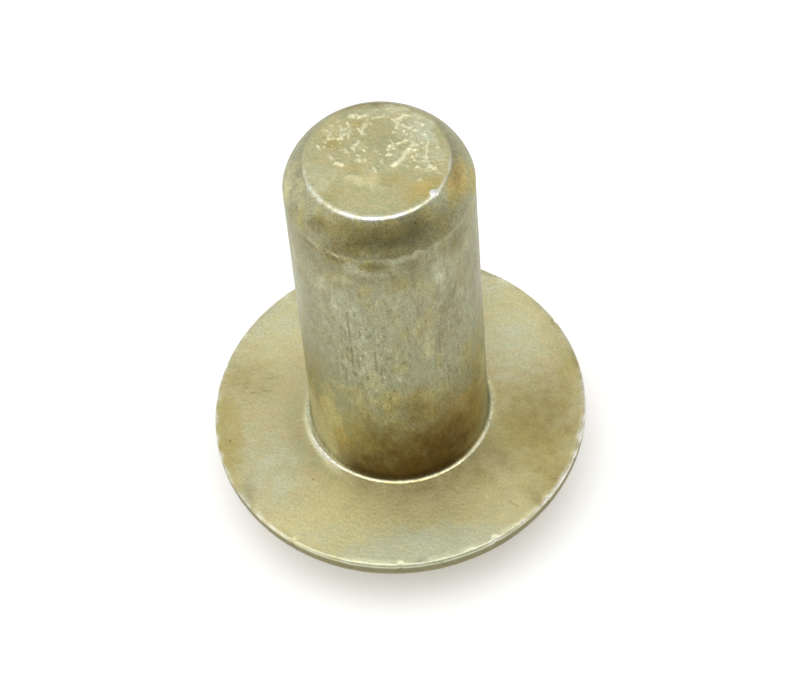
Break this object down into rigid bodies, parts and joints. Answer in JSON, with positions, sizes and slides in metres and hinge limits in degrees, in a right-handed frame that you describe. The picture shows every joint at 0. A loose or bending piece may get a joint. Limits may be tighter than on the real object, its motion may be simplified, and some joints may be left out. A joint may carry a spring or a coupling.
{
  "type": "universal head rivet",
  "caption": "Solid universal head rivet: low domed head with a flat bearing face, plain round shank and a drawn-in nose at the cut end.",
  "frame": {"origin": "middle of the small flat on the crown, which the rivet stands on", "axes": "+Z along the shank, from the head to the cut end; the part is a body of revolution about Z"},
  "size_m": [0.0126, 0.0126, 0.0158],
  "materials": {
    "plated_steel": "yellow passivated zinc plate, satin, slightly mottled"
  },
  "bodies": {
    "root": {"rivet": "plated_steel"}
  },
  "joints": []
}
